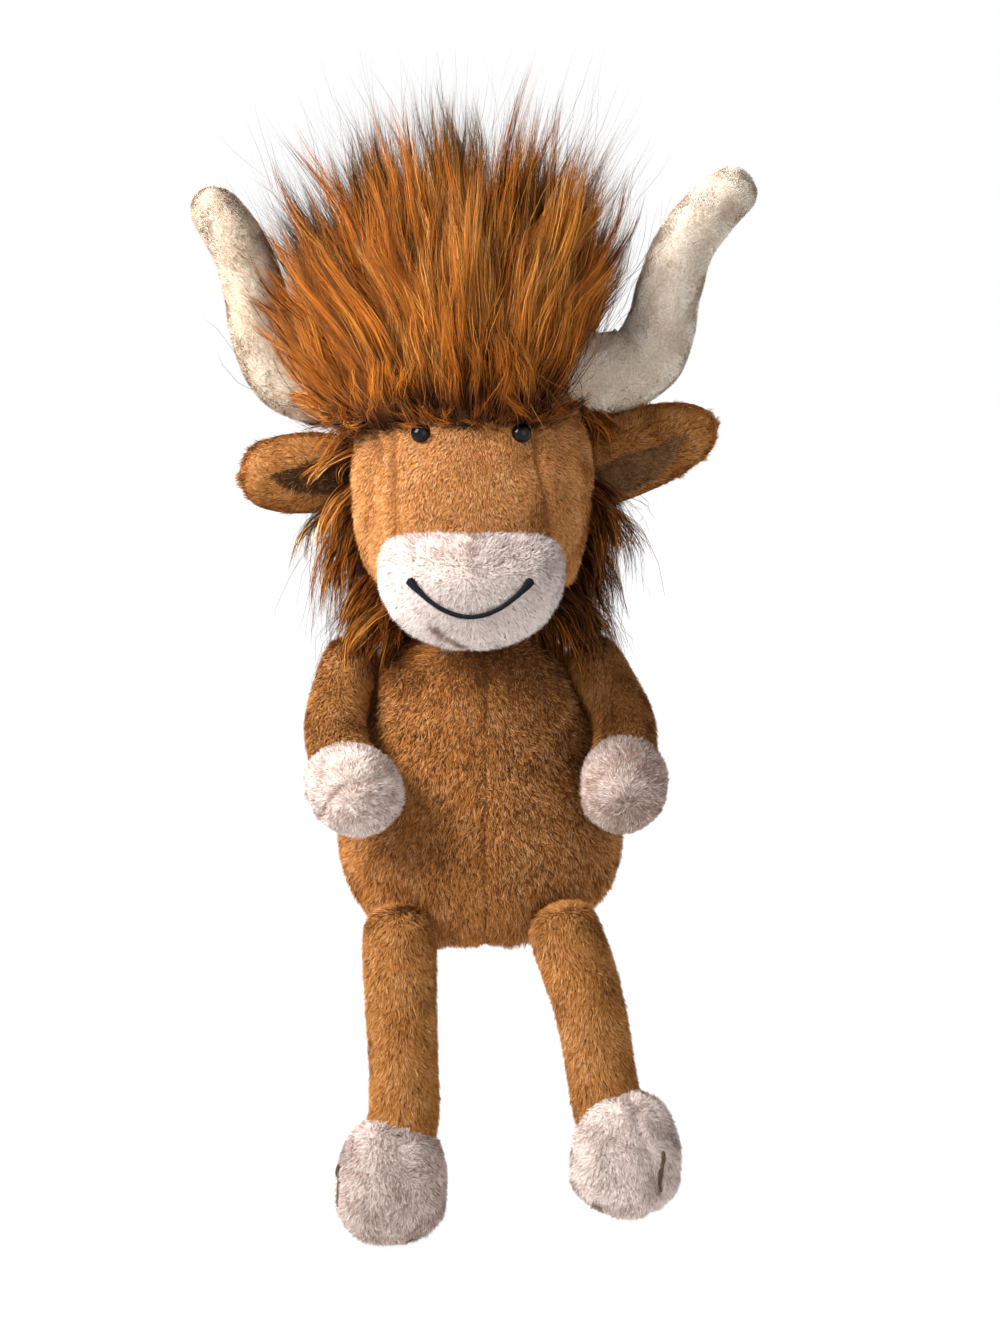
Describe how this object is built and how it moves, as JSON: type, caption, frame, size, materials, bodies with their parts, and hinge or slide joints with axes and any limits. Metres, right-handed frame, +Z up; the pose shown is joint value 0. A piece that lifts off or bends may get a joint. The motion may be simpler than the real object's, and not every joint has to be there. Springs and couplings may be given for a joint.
{
  "type": "plush cow",
  "caption": "Sitting plush cow with a pear body, upswept long hair, curved velour horns, cupped ears, pale muzzle and hooves, and soft limbs that hang from the shoulders and hips.",
  "frame": {"origin": "middle of the flat base panel that the toy sits on, at the seat's surface", "axes": "+Z up from the seat towards the hair, -Y the way the cow looks, +X the cow's own left side"},
  "size_m": [0.1796, 0.1424, 0.3565],
  "materials": {
    "brown_plush": "medium pile plush, brown",
    "face_plush": "short pile plush, light brown",
    "hoof_plush": "short pile plush, pinkish beige",
    "horn_velour": "cream velour",
    "ear_lining": "short dull plush, dark brown",
    "long_hair": "long rust-orange pile with dark guard hairs",
    "polyester_fill": "loose white fibre",
    "pouch_cloth": "plain woven cloth filled with pellets",
    "black_thread": "satin embroidery thread",
    "eye_bead": "polished black",
    "washer_plastic": "moulded white"
  },
  "bodies": {
    "torso": {"front_left_panel": "brown_plush", "front_right_panel": "brown_plush", "back_left_panel": "brown_plush", "back_right_panel": "brown_plush", "base_panel": "brown_plush", "bean_pouch": "pouch_cloth", "body_stuffing": "polyester_fill"},
    "head": {"forehead_panel": "face_plush", "left_cheek_panel": "face_plush", "right_cheek_panel": "face_plush", "head_back_panel": "brown_plush", "muzzle_cover": "hoof_plush", "head_stuffing": "polyester_fill", "mouth_stitching": "black_thread", "left_eye": "eye_bead", "right_eye": "eye_bead", "left_eye_washer": "washer_plastic", "right_eye_washer": "washer_plastic", "hair_tuft": "long_hair", "neck_mane": "long_hair", "left_horn_cover": "horn_velour", "right_horn_cover": "horn_velour", "left_horn_stuffing": "polyester_fill", "right_horn_stuffing": "polyester_fill"},
    "left_ear_flap": {"left_ear": "brown_plush", "left_ear_lining": "ear_lining"},
    "right_ear_flap": {"right_ear": "brown_plush", "right_ear_lining": "ear_lining"},
    "left_arm": {"left_arm_cover": "brown_plush", "left_hand_hoof": "hoof_plush", "left_arm_stuffing": "polyester_fill"},
    "right_arm": {"right_arm_cover": "brown_plush", "right_hand_hoof": "hoof_plush", "right_arm_stuffing": "polyester_fill"},
    "left_leg": {"left_leg_cover": "brown_plush", "left_foot_hoof": "hoof_plush", "left_foot_sole": "hoof_plush", "left_leg_stuffing": "polyester_fill", "left_cleft_thread": "black_thread"},
    "right_leg": {"right_leg_cover": "brown_plush", "right_foot_hoof": "hoof_plush", "right_foot_sole": "hoof_plush", "right_leg_stuffing": "polyester_fill", "right_cleft_thread": "black_thread"},
    "tail": {"tail_cover": "brown_plush", "tail_tuft": "long_hair"}
  },
  "joints": [
    {"name": "neck_turn", "type": "hinge", "parent": "torso", "child": "head", "pos_m": [0, 0, 0.1037], "axis": [0, 0, 1], "range_deg": [-25, 25], "stiffness_Nm_per_rad": 0.1},
    {"name": "left_ear_flap", "type": "hinge", "parent": "head", "child": "left_ear_flap", "pos_m": [0.043, 0.002, 0.15349], "axis": [0, 0, 1], "range_deg": [-20, 20], "stiffness_Nm_per_rad": 0.005},
    {"name": "right_ear_flap", "type": "hinge", "parent": "head", "child": "right_ear_flap", "pos_m": [-0.043, 0.002, 0.15349], "axis": [0, 0, 1], "range_deg": [-20, 20], "stiffness_Nm_per_rad": 0.005},
    {"name": "left_arm_lift", "type": "hinge", "parent": "torso", "child": "left_arm", "pos_m": [0.0405, -0.00702, 0.08953], "axis": [0, -1, 0], "range_deg": [0, 75], "stiffness_Nm_per_rad": 0.01, "springref_deg": -5.73},
    {"name": "right_arm_lift", "type": "hinge", "parent": "torso", "child": "right_arm", "pos_m": [-0.0405, -0.00702, 0.08953], "axis": [0, 1, 0], "range_deg": [0, 75], "stiffness_Nm_per_rad": 0.01, "springref_deg": -5.73},
    {"name": "left_leg_swing", "type": "hinge", "parent": "torso", "child": "left_leg", "pos_m": [0.03051, -0.03593, 0.00776], "axis": [-1, 0, 0], "range_deg": [0, 70]},
    {"name": "right_leg_swing", "type": "hinge", "parent": "torso", "child": "right_leg", "pos_m": [-0.02349, -0.03822, 0.00776], "axis": [-1, 0, 0], "range_deg": [0, 70]},
    {"name": "tail_lift", "type": "hinge", "parent": "torso", "child": "tail", "pos_m": [0, 0.0413, 0.025], "axis": [1, 0, 0], "range_deg": [0, 60]}
  ]
}
